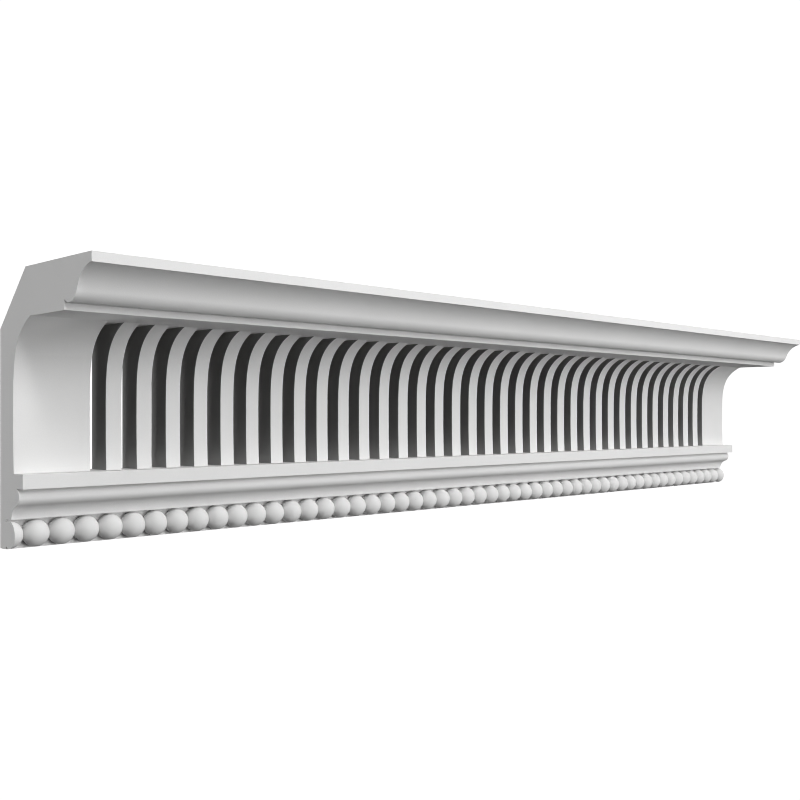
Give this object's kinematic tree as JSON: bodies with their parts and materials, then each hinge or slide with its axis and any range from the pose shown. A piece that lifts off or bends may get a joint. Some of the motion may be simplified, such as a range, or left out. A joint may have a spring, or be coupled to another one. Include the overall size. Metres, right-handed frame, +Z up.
{
  "type": "cornice moulding length",
  "caption": "Plaster cornice length: moulded crown over a cove cut by upright through slots, square ledge, small ogee and a row of beads; flat back and square-cut ends.",
  "frame": {"origin": "on the flat back face, at mid length, in the solid band under the slots, 26 mm above the lower edge", "axes": "+X along the length, +Y out of the back face towards the wall, so the moulded face looks towards -Y, +Z up"},
  "size_m": [1, 0.128, 0.19],
  "materials": {
    "plaster": "matte white cast gypsum plaster, fine and smooth, unpainted"
  },
  "bodies": {
    "root": {"cornice_moulding": "plaster"}
  },
  "joints": []
}
